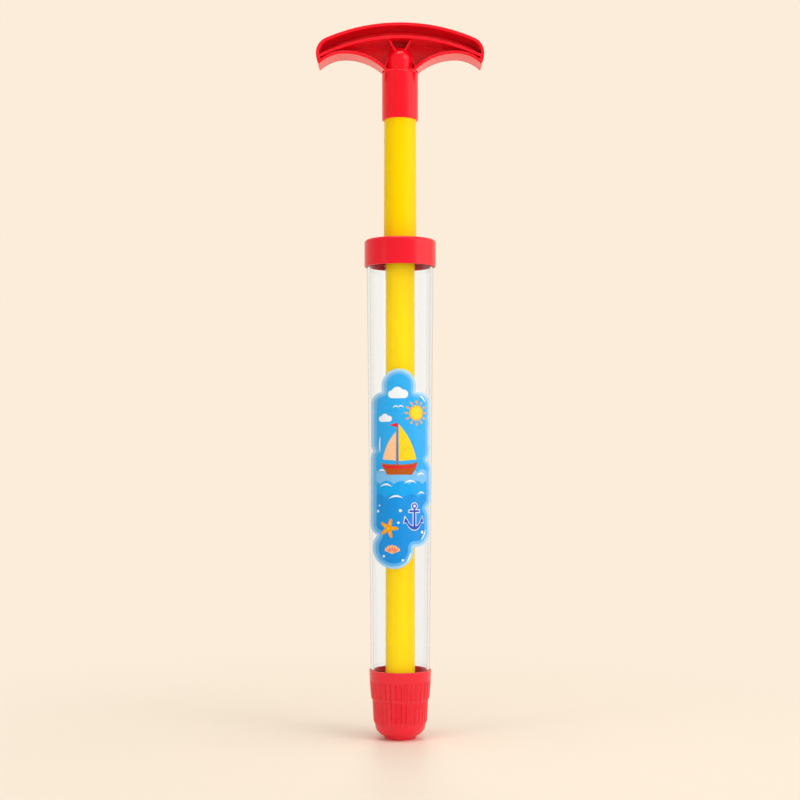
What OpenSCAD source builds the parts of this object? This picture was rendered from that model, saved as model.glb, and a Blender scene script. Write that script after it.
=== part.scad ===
// Water squirter: a clear tapered barrel with a fluted nozzle cap below and a guide cap above.
// A plunger with a T handle draws water in through the nozzle and drives it out again.
// Lengths are in millimetres. The squirter stands on its nozzle, with +Z up and the
// origin in the middle of the foot ring. The wide side of the handle lies along X.

/* [Barrel] */
// Outside diameter of the clear barrel at its top end
barrel_top_d = 40.4; // [38:0.1:44]
// Outside diameter of the clear barrel at its lower end
barrel_low_d = 35.2; // [34:0.1:37]
// Length of the clear barrel
barrel_len = 260.5; // [200:0.5:320]
// Thickness of the barrel's wall
barrel_wall = 1.6; // [1.2:0.1:2]

/* [Nozzle cap] */
// Height of the nozzle cap from the floor to its rim
cap_h = 41; // [40:0.5:46]
// Depth of the socket that takes the gasket and the barrel's lower end
cap_socket_h = 7; // [5:0.5:8]
// Height of the plain band under the rim
cap_band_h = 6.5; // [5:0.5:8]
// Height of the wider tier, from its lower edge to the rim
cap_tier_h = 18.2; // [17:0.1:20]
// Wall of the socket at the rim
cap_rim_wall = 0.9; // [0.7:0.1:1.6]
// Number of flutes around the cap
flute_count = 34; // [24:1:40]
// Depth of a flute
flute_depth = 0.6; // [0.3:0.05:0.7]
// Diameter of the foot ring that the squirter stands on
foot_d = 20; // [18:0.5:23]
// Diameter of the jet hole
jet_d = 4; // [2:0.1:5]

/* [Guide cap] */
// Height of the guide cap
guide_h = 16.4; // [14:0.2:22]
// Thickness of the guide cap's top
guide_top_t = 2.8; // [2:0.1:4]
// Wall of the guide cap's skirt
guide_wall = 1.25; // [1.1:0.05:2.5]
// Length of the tube inside the guide cap that steers the rod
guide_tube_h = 12; // [8:0.5:13]

/* [Plunger] */
// Outside diameter of the plunger rod
rod_d = 17.6; // [15:0.1:19]
// Wall of the plunger rod
rod_wall = 1.5; // [1:0.1:2]
// Wall of the stop sleeve at its lower end, around the upper part of the rod
sleeve_wall = 1; // [0.9:0.05:1.5]
// Length of the stop sleeve that shows between the guide cap and the handle
sleeve_show = 72.7; // [50:0.1:100]
// Height of the piston head without its spigot
piston_h = 9.4; // [9:0.1:9.8]

/* [Handle] */
// Width of the handle from tip to tip
handle_w = 101.2; // [96:0.1:108]
// Depth of the handle from front to back
handle_t = 18.4; // [16:0.1:20]
// Height of the handle's crown above the socket's shoulder
handle_rise = 28.7; // [28:0.1:31]
// Radius of the handle's crown
crown_r = 112; // [105:1:125]
// Radius of the finger curve on the tip side of each wing
finger_tip_r = 21.5; // [20:0.5:24]
// Radius of the finger curve on the socket side of each wing
finger_socket_r = 34; // [32:0.5:36]
// Thickness of the wall around the handle's edge
handle_wall = 1.9; // [1.4:0.1:2.4]
// Thickness of the web that closes the back of the handle
web_t = 2; // [1.6:0.1:4]
// Height of the socket that holds the sleeve and the rod
socket_h = 29; // [27:0.5:36]
// Wall of the socket
socket_wall = 1.3; // [1:0.1:2]

/* [Label] */
// Width of the label, measured straight across
label_w = 35.4; // [28:0.1:36]
// Height of the label
label_h = 117.5; // [100:0.5:125]
// Thickness of the label's film
label_t = 0.2; // [0.1:0.05:0.4]

/* [Hidden] */
$fn = 96;

red = [0.86, 0.07, 0.13];
yellow = [1.0, 0.83, 0.05];
clear = [0.93, 0.95, 0.96, 0.3];
water_blue = [0.25, 0.66, 0.92];
rubber = [0.12, 0.12, 0.13];

// Clearances: pressed or glued seats, the rod in its guide, and the seal in its bore
seat_fit = 0.05;
guide_slide = 0.25;
seal_slide = 0.2;
// How far a cut runs past the face that it leaves
cut = 2;

// Barrel: where it stands and the snap bead near its top
gasket_t = 1;
cap_socket_z = cap_h - cap_socket_h;
barrel_z = cap_socket_z + gasket_t;
barrel_top_z = barrel_z + barrel_len;
bead_drop = 6;
bead_h = 2.4;
bead_out = 0.45;
bead_z = barrel_top_z - bead_drop;
barrel_draw = (barrel_top_d - barrel_low_d) / 2 / barrel_len;
function barrel_r(z) = barrel_low_d / 2 + (z - barrel_z) * barrel_draw;
bore_low_r = barrel_r(barrel_z) - barrel_wall;

// Nozzle cap: the tiers draw in from the rim to the foot
cap_band_z = cap_h - cap_band_h;
cap_step_z = cap_h - cap_tier_h;
rim_edge = 0.5;
band_draw = 0.3;
tier_draw = 0.85;
tier_step = 0.8;
tier_step_h = 1.5;
low_tier_draw = 0.65;
rib_end_step = 0.85;
rib_end_h = 1.9;
base_round = 7;
foot_h = 1.6;
foot_draw = 0.8;
base_round_z = foot_h + base_round;
rib_end_z = base_round_z;
rim_r = barrel_r(cap_h) + seat_fit + cap_rim_wall;
band_r = rim_r - band_draw;
tier_r = band_r - tier_draw;
low_tier_top_r = tier_r - tier_step;
low_tier_r = low_tier_top_r - low_tier_draw;
root_r = low_tier_r - rib_end_step;
flute_pitch = 360 / flute_count;
flute_share = 0.26;
flute_half = 2 * PI * tier_r / flute_count * flute_share;
flute_r = (flute_half * flute_half + flute_depth * flute_depth) / 2 / flute_depth;
// Inside of the nozzle cap: the piston's seat, the ledge under it and the water chamber
base_wall = 1.55;
piston_gap = 0.5;
ledge_z = cap_socket_z - piston_h - piston_gap;
chamber_r = root_r - base_wall;
foot_recess_h = 1;
foot_ring_w = 3.6;

// Guide cap: it rests on the barrel's top end
guide_gap = 0.2;
guide_edge = 1.8;
guide_tube_wall = 1.6;
guide_top_z = barrel_top_z + guide_gap + guide_top_t;
guide_low_z = guide_top_z - guide_h;
skirt_r = barrel_r(barrel_top_z) + 2 * seat_fit;
guide_r = skirt_r + guide_wall;
guide_hole_r = rod_d / 2 + guide_slide;
guide_tube_r = guide_hole_r + guide_tube_wall;

// Plunger: the sleeve's lower end rests on the guide cap and stops the stroke
sleeve_bore_r = rod_d / 2 + seat_fit;
sleeve_r = sleeve_bore_r + sleeve_wall;
socket_z = guide_top_z + sleeve_show;
socket_bore_h = 25;
sleeve_draw = 0.25;
sleeve_top_r = sleeve_r - sleeve_draw;
rod_top_z = socket_z + socket_bore_h - seat_fit;
piston_z = ledge_z + piston_gap;
piston_top_z = piston_z + piston_h;
flange_h = 2.2;
flange_gap = 1.2;
groove_depth = 3.6;
seal_r = bore_low_r - seal_slide;
flange_r = seal_r - flange_gap;
groove_r = flange_r - groove_depth;
spigot_h = 14;
spigot_r = rod_d / 2 - rod_wall - seat_fit;
spigot_wall = 2;
seal_notch = 1.1;

// Handle: a deep tray, open at the front, with a curved rib and a braced dome inside
shoulder_z = socket_z + socket_h;
socket_r = sleeve_top_r + seat_fit + socket_wall;
crown_z = shoulder_z + handle_rise;
finger_x = 33.5;
finger_rise = 9.7;
corner_r = 10;
tip_r = 15;
skirt_drop = 1.5;
rib_drop = 7.8;
rib_t = 1.8;
rib_r = 110;
rib_set_back = 0.4;
dome_r = 8;
dome_h = 15.4;
gusset_t = 1;
gusset_angle = 30;
gusset_set_back = 3;
brace_top_x = 7;
brace_rise = 1.5;
brace_foot_x = 10.5;
brace_set_back = 6;

// Label: a film around the front of the barrel, turned a little to the right
label_z = 160.8;
label_turn = 4;
label_glue = 0.12;
// Lobes around the label's edge, clockwise from the top: place across, heights of the two ends,
// and radius, as shares of the label's width or height
label_lobe_shares = [
    [-0.056, 0.405, 0.419, 0.28],
    [0.277, 0.327, 0.086, 0.198],
    [0.271, -0.004, -0.147, 0.226],
    [0.226, -0.241, -0.318, 0.237],
    [-0.141, -0.394, -0.402, 0.328],
    [-0.305, -0.281, 0.052, 0.198],
    [-0.299, 0.126, 0.329, 0.198],
];

module barrel() {
    color(clear) rotate_extrude() polygon([
        [bore_low_r, barrel_z],
        [barrel_r(barrel_z), barrel_z],
        [barrel_r(bead_z - bead_h / 2), bead_z - bead_h / 2],
        [barrel_r(bead_z) + bead_out, bead_z],
        [barrel_r(bead_z + bead_h / 2), bead_z + bead_h / 2],
        [barrel_r(barrel_top_z), barrel_top_z],
        [barrel_r(barrel_top_z) - barrel_wall, barrel_top_z],
    ]);
}

// A block with the label's cut outline, reaching forward from the middle of the label
module label_block() {
    linear_extrude(height = barrel_top_d) polygon([
        for (lobe = label_lobe_shares, end = [1, 2]) [lobe[0] * label_w, lobe[end] * label_h],
    ]);
    for (lobe = label_lobe_shares) {
        radius = lobe[3] * label_w;
        low = min(lobe[1], lobe[2]) * label_h;
        high = max(lobe[1], lobe[2]) * label_h;
        for (z = [low, high]) translate([lobe[0] * label_w, z, 0])
            cylinder(h = barrel_top_d, r = radius);
        translate([lobe[0] * label_w - radius, low, 0])
            cube([2 * radius, high - low, barrel_top_d]);
    }
}

// A film of the label's thickness on the barrel, trimmed to the outline from the front
module label() {
    low = label_z - label_h / 2 - cut;
    high = label_z + label_h / 2 + cut;
    color(water_blue) intersection() {
        rotate_extrude() polygon([
            [barrel_r(low) + label_glue, low],
            [barrel_r(low) + label_glue + label_t, low],
            [barrel_r(high) + label_glue + label_t, high],
            [barrel_r(high) + label_glue, high],
        ]);
        rotate([0, 0, label_turn]) translate([0, 0, label_z]) rotate([90, 0, 0]) label_block();
    }
}

// Skirt, top and inner guide tube in one section, with the rounded top edge as an arc
module guide_cap() {
    color(red) rotate_extrude() difference() {
        union() {
            translate([0, guide_low_z]) square([guide_r, guide_h - guide_edge]);
            translate([0, guide_low_z]) square([guide_r - guide_edge, guide_h]);
            translate([guide_r - guide_edge, guide_top_z - guide_edge]) circle(guide_edge);
        }
        translate([0, guide_low_z - cut]) square([guide_hole_r, guide_h + 2 * cut]);
        translate([0, guide_low_z - cut]) square([skirt_r, guide_h - guide_tube_h + cut]);
        translate([guide_tube_r, guide_low_z - cut])
            square([skirt_r - guide_tube_r, guide_h - guide_top_t + cut]);
        polygon([
            [skirt_r - guide_wall, bead_z - bead_h / 2],
            [skirt_r, bead_z - bead_h / 2],
            [skirt_r + bead_out, bead_z],
            [skirt_r, bead_z + bead_h / 2],
            [skirt_r - guide_wall, bead_z + bead_h / 2],
        ]);
    }
}

// The nozzle cap's outside without its flutes, from the foot ring to the rim
module cap_outside() {
    polygon([
        [0, 0],
        [foot_d / 2 - foot_draw, 0],
        [foot_d / 2, foot_h],
        [foot_d / 2, base_round_z],
        [0, base_round_z],
    ]);
    translate([0, foot_h]) square([root_r - base_round, base_round]);
    translate([root_r - base_round, base_round_z]) intersection() {
        circle(base_round);
        translate([0, -base_round]) square(base_round);
    }
    polygon([
        [0, base_round_z],
        [root_r, base_round_z],
        [root_r, rib_end_z],
        [low_tier_r, rib_end_z + rib_end_h],
        [low_tier_top_r, cap_step_z],
        [tier_r, cap_step_z + tier_step_h],
        [band_r, cap_band_z],
        [rim_r, cap_h - rim_edge],
        [rim_r - rim_edge, cap_h],
        [0, cap_h],
    ]);
}

// What is taken out of the nozzle cap: recess and jet, water chamber, piston seat and socket
module cap_inside() {
    inner_round = base_round - base_wall;
    translate([0, -cut]) square([foot_d / 2 - foot_ring_w, cut + foot_recess_h]);
    square([jet_d / 2, base_round_z]);
    translate([0, base_round_z - inner_round]) square([chamber_r - inner_round, inner_round]);
    translate([chamber_r - inner_round, base_round_z]) intersection() {
        circle(inner_round);
        translate([0, -inner_round]) square(inner_round);
    }
    translate([0, base_round_z]) square([chamber_r, ledge_z - base_round_z]);
    translate([0, ledge_z]) square([bore_low_r, cap_h - ledge_z]);
    polygon([
        [0, cap_socket_z],
        [barrel_r(cap_socket_z) + seat_fit, cap_socket_z],
        [barrel_r(cap_h + cut) + seat_fit, cap_h + cut],
        [0, cap_h + cut],
    ]);
}

// A cutter for one flute, leaning with the wall from the low point to the high one
module flute(low_r, low_z, high_r, high_z, round_end) {
    lean = atan((high_r - low_r) / (high_z - low_z));
    length = norm([high_r - low_r, high_z - low_z]);
    translate([low_r + flute_r - flute_depth, 0, low_z]) rotate([0, lean, 0]) {
        cylinder(h = length, r = flute_r);
        if (round_end) translate([0, 0, length]) sphere(flute_r);
    }
}

module nozzle_cap() {
    color(red) difference() {
        rotate_extrude() difference() {
            cap_outside();
            cap_inside();
        }
        for (i = [0 : flute_count - 1]) rotate([0, 0, i * flute_pitch + flute_pitch / 2]) {
            flute(tier_r, cap_step_z, band_r, cap_band_z - flute_half, true);
            flute(low_tier_r, rib_end_z, low_tier_top_r, cap_step_z, false);
        }
    }
}

// A flat rubber ring on the socket's floor, under the barrel's lower end
module barrel_gasket() {
    color(rubber) translate([0, 0, cap_socket_z]) difference() {
        cylinder(h = gasket_t, r = barrel_r(cap_socket_z));
        translate([0, 0, -cut]) cylinder(h = gasket_t + 2 * cut, r = bore_low_r);
    }
}

module plunger_rod() {
    color(yellow) translate([0, 0, piston_top_z]) difference() {
        cylinder(h = rod_top_z - piston_top_z, d = rod_d);
        translate([0, 0, -cut])
            cylinder(h = rod_top_z - piston_top_z + 2 * cut, r = rod_d / 2 - rod_wall);
    }
}

// A drafted tube around the rod, with a straight top inside the handle's socket
module stop_sleeve() {
    color(yellow) translate([0, 0, guide_top_z]) difference() {
        union() {
            cylinder(h = sleeve_show, r1 = sleeve_r, r2 = sleeve_top_r);
            cylinder(h = rod_top_z - guide_top_z, r = sleeve_top_r);
        }
        translate([0, 0, -cut]) cylinder(h = rod_top_z - guide_top_z + 2 * cut, r = sleeve_bore_r);
    }
}

// One half of a finger curve: a quarter of a disc that ends at the curve's highest point
module finger_half(side, radius, inset) {
    translate([0, -radius]) intersection() {
        circle(radius + inset);
        translate([min(side, 0) * (radius + inset), 0]) square(radius + inset);
    }
}

// The handle's front outline, drawn in from its edge by an inset
module handle_outline(inset) {
    end_x = handle_w / 2;
    corner_x = end_x - corner_r;
    corner_z = crown_z - crown_r + sqrt((crown_r - corner_r) ^ 2 - corner_x ^ 2);
    // The crown's arc runs over into the corner's arc at this distance from the middle
    crown_end_x = corner_x * (crown_r - inset) / (crown_r - corner_r);
    difference() {
        intersection() {
            translate([0, crown_z - crown_r]) circle(crown_r - inset);
            union() {
                translate([-crown_end_x, shoulder_z - skirt_drop + inset])
                    square([2 * crown_end_x, handle_rise + skirt_drop]);
                for (side = [-1, 1]) {
                    translate([side * corner_x, corner_z]) circle(corner_r - inset);
                    translate([side * (end_x - tip_r), corner_z]) intersection() {
                        circle(tip_r - inset);
                        translate([-tip_r, -tip_r]) square([2 * tip_r, tip_r]);
                    }
                }
            }
        }
        for (side = [-1, 1]) translate([side * finger_x, shoulder_z + finger_rise]) {
            finger_half(side, finger_tip_r, inset);
            finger_half(-side, finger_socket_r, inset);
        }
    }
}

// The curved rib that runs from tip to tip inside the tray
module handle_rib() {
    intersection() {
        translate([0, crown_z - rib_drop - rib_r]) difference() {
            circle(rib_r);
            circle(rib_r - rib_t);
        }
        handle_outline(handle_wall / 2);
    }
}

// Stands a flat shape up in the handle's plane, from a set-back behind the front into the web
module upright(set_back) {
    translate([0, (handle_t - web_t) / 2, 0]) rotate([90, 0, 0])
        linear_extrude(height = handle_t - web_t / 2 - set_back) children();
}

// A slanting brace from the dome's side down to the lower wall
module dome_brace(side, dome_z) {
    top_x = side * brace_top_x;
    foot_x = side * brace_foot_x;
    polygon([
        [top_x - gusset_t / 2, dome_z + brace_rise],
        [top_x + gusset_t / 2, dome_z + brace_rise],
        [foot_x + gusset_t / 2, shoulder_z - skirt_drop / 2],
        [foot_x - gusset_t / 2, shoulder_z - skirt_drop / 2],
    ]);
}

module handle() {
    dome_z = shoulder_z + dome_h - dome_r;
    gusset_len = crown_z - rib_drop - rib_t / 2 - dome_z;
    color(red) difference() {
        union() {
            difference() {
                translate([0, handle_t / 2, 0]) rotate([90, 0, 0])
                    linear_extrude(height = handle_t) handle_outline(0);
                translate([0, handle_t / 2 - web_t, 0]) rotate([90, 0, 0])
                    linear_extrude(height = handle_t) handle_outline(handle_wall);
            }
            upright(rib_set_back) handle_rib();
            translate([0, 0, socket_z]) cylinder(h = socket_h, r = socket_r);
            translate([0, 0, shoulder_z - skirt_drop])
                cylinder(h = dome_z - shoulder_z + skirt_drop, r = dome_r);
            translate([0, 0, dome_z]) sphere(dome_r);
            for (side = [-1, 1]) {
                upright(gusset_set_back) translate([0, dome_z]) rotate(side * gusset_angle)
                    translate([-gusset_t / 2, 0]) square([gusset_t, gusset_len]);
                upright(brace_set_back) dome_brace(side, dome_z);
            }
        }
        translate([0, 0, socket_z - cut]) cylinder(h = socket_bore_h + cut, r = sleeve_top_r + seat_fit);
    }
}

// Two flanges with the seal's groove between them, and a hollow spigot inside the rod
module piston_head() {
    color(red) translate([0, 0, piston_z]) difference() {
        union() {
            cylinder(h = flange_h, r = flange_r);
            cylinder(h = piston_h, r = groove_r);
            translate([0, 0, piston_h - flange_h]) cylinder(h = flange_h, r = flange_r);
            cylinder(h = piston_h + spigot_h, r = spigot_r);
        }
        translate([0, 0, flange_h])
            cylinder(h = piston_h + spigot_h, r = spigot_r - spigot_wall);
    }
}

// A soft ring with one lip for each way of the stroke
module piston_seal() {
    seal_low = piston_z + flange_h + seal_slide;
    seal_high = piston_top_z - flange_h - seal_slide;
    color(rubber) rotate_extrude() polygon([
        [groove_r + seal_slide, seal_low],
        [seal_r, seal_low],
        [seal_r - seal_notch, (seal_low + seal_high) / 2],
        [seal_r, seal_high],
        [groove_r + seal_slide, seal_high],
    ]);
}

barrel();
label();
guide_cap();
nozzle_cap();
barrel_gasket();
plunger_rod();
stop_sleeve();
handle();
piston_head();
piston_seal();
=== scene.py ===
import math

import bmesh
import bpy
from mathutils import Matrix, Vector


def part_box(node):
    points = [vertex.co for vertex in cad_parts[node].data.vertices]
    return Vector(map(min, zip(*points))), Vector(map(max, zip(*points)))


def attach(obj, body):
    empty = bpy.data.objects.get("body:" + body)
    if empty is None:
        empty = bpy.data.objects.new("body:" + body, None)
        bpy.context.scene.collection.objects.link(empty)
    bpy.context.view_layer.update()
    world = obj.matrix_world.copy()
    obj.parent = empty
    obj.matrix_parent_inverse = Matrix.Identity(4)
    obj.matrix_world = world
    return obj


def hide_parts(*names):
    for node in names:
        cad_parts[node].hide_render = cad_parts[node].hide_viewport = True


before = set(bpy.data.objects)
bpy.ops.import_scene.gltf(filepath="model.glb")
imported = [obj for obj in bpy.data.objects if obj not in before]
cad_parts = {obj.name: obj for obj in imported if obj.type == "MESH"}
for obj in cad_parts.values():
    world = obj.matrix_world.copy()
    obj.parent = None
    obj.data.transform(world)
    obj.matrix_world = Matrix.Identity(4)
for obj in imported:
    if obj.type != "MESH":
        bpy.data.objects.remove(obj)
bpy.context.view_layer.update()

# Camera
# The squirter is taken from the front, level with the middle of its barrel, by a camera tipped
# up slightly. One square frame takes in the whole toy and some of the table in front of it.
MM = 0.001
CAMERA_SENSOR = 36.0
CAMERA_LENS = 69.57
CAMERA_PLACE = Vector((-0.12, -930, 172))
CAMERA_TIP = math.radians(1.849)
CAMERA_ROLL = math.radians(0.02)
camera_data = bpy.data.cameras.new("camera")
camera_data.sensor_width = CAMERA_SENSOR
camera_data.lens = CAMERA_LENS
camera = bpy.data.objects.new("camera", camera_data)
camera.location = CAMERA_PLACE * MM
camera.rotation_euler = (math.pi / 2 + CAMERA_TIP, CAMERA_ROLL, 0)
bpy.context.scene.collection.objects.link(camera)
bpy.context.scene.camera = camera
bpy.context.scene.view_settings.view_transform = "Standard"


# Floor and background
# A satin cream table top runs into a cream background with no line between them. Near the
# toy the table takes its shadow and a faint reflection, and further off it is the plain cream.
CREAM = (0.972, 0.848, 0.701)
TABLE_CREAM = (0.975, 0.85, 0.702)
SOFT_WHITE = (0.97, 0.935, 0.885)
TABLE_RADIUS = 6.0
TABLE_SIDES = 96
TABLE_DROP = 0.1
TABLE_FADE = 0.45
BEFORE_BOUNCE = 0.5


def node_adder(tree):
    """A short way to add nodes to an emptied tree, each with its inputs set or linked."""
    tree.nodes.clear()

    def add(kind, inputs=None, **settings):
        node = tree.nodes.new("ShaderNode" + kind)
        for key, value in settings.items():
            setattr(node, key, value)
        for key, value in (inputs or {}).items():
            if isinstance(value, bpy.types.NodeSocket):
                tree.links.new(value, node.inputs[key])
            else:
                node.inputs[key].default_value = value
        return node

    return add


def new_material(name):
    """An empty node material, and the way to add its nodes."""
    material = bpy.data.materials.new(name)
    material.use_nodes = True
    return material, node_adder(material.node_tree)


def background_light(add, glossy_share):
    """Colour of the background, whiter through clear plastic, and 1 for the rays that show it."""
    def maths(operation, first, second):
        return add("Math", {0: first, 1: second}, operation=operation).outputs[0]

    path = add("LightPath").outputs
    through = path["Is Transmission Ray"]
    gloss = maths("MULTIPLY", path["Is Glossy Ray"], glossy_share)
    seen = maths("MAXIMUM", maths("MAXIMUM", path["Is Camera Ray"], gloss), through)
    straight = maths("LESS_THAN", path["Diffuse Depth"], BEFORE_BOUNCE)
    colour = add("Mix", {"Factor": through, "A": (*CREAM, 1), "B": (*SOFT_WHITE, 1)}, data_type="RGBA")
    return colour.outputs["Result"], maths("MULTIPLY", seen, straight)


table_finish, add = new_material("cream_table_top")
satin = add("BsdfPrincipled", {
    "Base Color": (*TABLE_CREAM, 1), "Roughness": 0.36, "Specular IOR Level": 0.02,
})
colour, seen = background_light(add, 1.0)
plain_cream = add("Emission", {"Color": colour})
place = add("TexCoord").outputs["Object"]
distance = add("VectorMath", {0: place}, operation="LENGTH").outputs["Value"]
fade = add("MapRange", {"Value": distance, "From Max": TABLE_FADE},
           interpolation_type="SMOOTHSTEP").outputs["Result"]
share = add("Math", {0: fade, 1: seen}, operation="MULTIPLY").outputs[0]
mixed = add("MixShader", {"Fac": share, 1: satin.outputs[0], 2: plain_cream.outputs[0]})
add("OutputMaterial", {"Surface": mixed.outputs[0]})

bpy.ops.mesh.primitive_circle_add(vertices=TABLE_SIDES, radius=TABLE_RADIUS, fill_type="NGON",
                                  location=(0, 0, -TABLE_DROP * MM))
table = bpy.context.object
table.name = "table_top"
table.data.materials.append(table_finish)

# A gloss shows the lit background behind the toy, but only the dim room on the camera's side.
ROOM_LIGHT = 0.30
ROOM_WHITE = (1.0, 0.975, 0.94)
FRONT_SHARE = 0.35
SIDE_BLEND = 0.35
world = bpy.data.worlds.new("cream_background")
world.use_nodes = True
bpy.context.scene.world = world
add = node_adder(world.node_tree)
facing = add("SeparateXYZ", {"Vector": add("TexCoord").outputs["Generated"]}).outputs["Y"]
behind = add("MapRange", {
    "Value": facing, "From Min": -SIDE_BLEND, "From Max": SIDE_BLEND, "To Min": FRONT_SHARE,
})
colour, seen = background_light(add, behind.outputs["Result"])
shown = add("Background", {"Color": colour})
room = add("Background", {"Color": (*ROOM_WHITE, 1), "Strength": ROOM_LIGHT})
sky = add("MixShader", {"Fac": seen, 1: room.outputs[0], 2: shown.outputs[0]})
add("OutputWorld", {"Surface": sky.outputs[0]})


# Studio lamps
# A wide soft box hangs above the toy, and a low fill stands beside the camera. Tall lamps shape
# it from the right and the left, two soft boxes at the right give it its gloss, and one behind
# lights its back and lays a soft shadow on the table in front.
AIM = Vector((0, 0, 0.21))


def soft_box(name, azimuth, elevation, distance, size, power, shines=True):
    """A lamp aimed at the toy, at an azimuth from the camera's side; a fill shows in no gloss."""
    lamp = bpy.data.lights.new(name, "AREA")
    lamp.shape = "RECTANGLE"
    lamp.size, lamp.size_y = size
    lamp.energy = power
    holder = bpy.data.objects.new(name, lamp)
    turn, lift = math.radians(azimuth), math.radians(elevation)
    away = Vector((math.sin(turn) * math.cos(lift), -math.cos(turn) * math.cos(lift), math.sin(lift)))
    holder.location = AIM + away * distance
    holder.rotation_euler = away.to_track_quat("Z", "Y").to_euler()
    holder.visible_glossy = shines
    bpy.context.scene.collection.objects.link(holder)


soft_box("top_soft_box", 8, 80, 1.3, (0.9, 0.7), 8.0)
soft_box("front_fill", 14, -3, 1.5, (1.0, 0.24), 4.3, shines=False)
soft_box("front_high_soft_box", 45, 32, 1.5, (0.5, 0.4), 2.6)
soft_box("right_soft_box", 80, 15, 1.2, (1.1, 1.0), 2.8)
soft_box("right_key", 60, 8, 1.1, (0.3, 0.6), 2.3, shines=False)
soft_box("left_key", -55, 8, 1.2, (0.3, 0.6), 2.6, shines=False)
soft_box("back_fill", 180, 32, 1.5, (0.5, 0.6), 6.0, shines=False)


# Barrel
# The barrel is a clear tube that widens a little towards the top, moulded in one from hard
# glass-clear plastic. It is pressed into the nozzle cap and carries a snap bead near its top.
BARREL_WALL = 1.6
BARREL_LOW_R = 17.6
BARREL_TOP_R = 20.2
BARREL_SIDES = 256
LIP_ROUND = 0.45
BEAD_DROP = 6.0
BEAD_H = 2.4
BEAD_OUT = 0.45
BEAD_ROUND = 1.0
ROUND_STEPS = 6
EDGE_ROW = 0.15
LONG_WALL = 5 * EDGE_ROW
LATHE_SIDES = 160
SHARP_ANGLE = 32
low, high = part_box("barrel")
barrel_low_z, barrel_top_z = low.z / MM, high.z / MM
bead_z = barrel_top_z - BEAD_DROP


def barrel_r(z):
    """Outside radius of the barrel at a height."""
    share = (z - barrel_low_z) / (barrel_top_z - barrel_low_z)
    return BARREL_LOW_R + share * (BARREL_TOP_R - BARREL_LOW_R)


def rounded(corners):
    """A closed section through corners of (radius, height, rounding), with arcs at the rounded ones."""
    points = []
    for index, (r, z, rounding) in enumerate(corners):
        here = Vector((r, z))
        if rounding == 0:
            points.append((r, z))
            continue
        back = (Vector(corners[index - 1][:2]) - here).normalized()
        on = (Vector(corners[(index + 1) % len(corners)][:2]) - here).normalized()
        half = back.angle(on) / 2
        centre = here + (back + on).normalized() * (rounding / math.sin(half))
        start = (here + back * (rounding / math.tan(half)) - centre).normalized()
        end = (here + on * (rounding / math.tan(half)) - centre).normalized()
        for step in range(ROUND_STEPS + 1):
            point = centre + start.slerp(end, step / ROUND_STEPS) * rounding
            points.append((point.x, point.y))
    return points


def new_piece(name, corners, faces, sharp_from=SHARP_ANGLE):
    """A piece from corners in millimetres, smooth except along edges sharper than the angle."""
    mesh = bpy.data.meshes.new(name)
    mesh.from_pydata([[value * MM for value in corner] for corner in corners], [], faces)
    tidy = bmesh.new()
    tidy.from_mesh(mesh)
    bmesh.ops.recalc_face_normals(tidy, faces=tidy.faces)
    tidy.to_mesh(mesh)
    tidy.free()
    mesh.shade_smooth()
    mesh.set_sharp_from_angle(angle=math.radians(sharp_from))
    piece = bpy.data.objects.new(name, mesh)
    bpy.context.scene.collection.objects.link(piece)
    return piece


def between(here, after, share):
    """The point a share of the way from one point to another."""
    return tuple(start + share * (end - start) for start, end in zip(here, after))


def with_edge_rows(section):
    """The section with a close row at both ends of each long wall, so that it shades as straight."""
    points = []
    for here, after in zip(section, section[1:] + section[:1]):
        points.append(here)
        length = math.dist(here, after)
        if length > LONG_WALL and max(here[0], after[0]) > 0:
            points.append(between(here, after, EDGE_ROW / length))
            points.append(between(here, after, 1 - EDGE_ROW / length))
    return points


def lathe(name, section, segments=LATHE_SIDES, radius_at=None, sharp_from=SHARP_ANGLE):
    """A turned piece from a closed section of (radius, height) points; a radius of 0 is on the axis."""
    corners, rings, faces = [], [], []
    for r, z in with_edge_rows(section):
        ring = []
        for index in range(1 if r == 0 else segments):
            angle = 2 * math.pi * index / segments
            radius = radius_at(r, z, angle) if radius_at else r
            ring.append(len(corners))
            corners.append((radius * math.cos(angle), radius * math.sin(angle), z))
        rings.append(ring)
    for ring, after in zip(rings, rings[1:] + rings[:1]):
        if len(ring) == 1 and len(after) == 1:
            continue
        for index in range(segments):
            following = (index + 1) % segments
            if len(ring) == 1:
                faces.append((ring[0], after[index], after[following]))
            elif len(after) == 1:
                faces.append((ring[index], after[0], ring[following]))
            else:
                faces.append((ring[index], after[index], after[following], ring[following]))
    return new_piece(name, corners, faces, sharp_from)


barrel = lathe("barrel_tube", rounded([
    (BARREL_LOW_R - BARREL_WALL, barrel_low_z, LIP_ROUND),
    (BARREL_LOW_R, barrel_low_z, LIP_ROUND),
    (barrel_r(bead_z - BEAD_H / 2), bead_z - BEAD_H / 2, BEAD_ROUND),
    (barrel_r(bead_z) + BEAD_OUT, bead_z, BEAD_ROUND),
    (barrel_r(bead_z + BEAD_H / 2), bead_z + BEAD_H / 2, BEAD_ROUND),
    (BARREL_TOP_R, barrel_top_z, LIP_ROUND),
    (BARREL_TOP_R - BARREL_WALL, barrel_top_z, LIP_ROUND),
]), segments=BARREL_SIDES)

clear_finish, add = new_material("clear_barrel_plastic")
place = add("TexCoord").outputs["Object"]
stretched = add("Mapping", {"Vector": place, "Scale": (90, 90, 9)}).outputs["Vector"]
flow = add("TexNoise", {"Vector": stretched, "Scale": 1.0, "Detail": 2.0}).outputs["Fac"]
haze = add("MapRange", {"Value": flow, "To Min": 0.01, "To Max": 0.03}).outputs["Result"]
ripple = add("Bump", {"Height": flow, "Strength": 0.015, "Distance": 0.0004}).outputs["Normal"]
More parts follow.
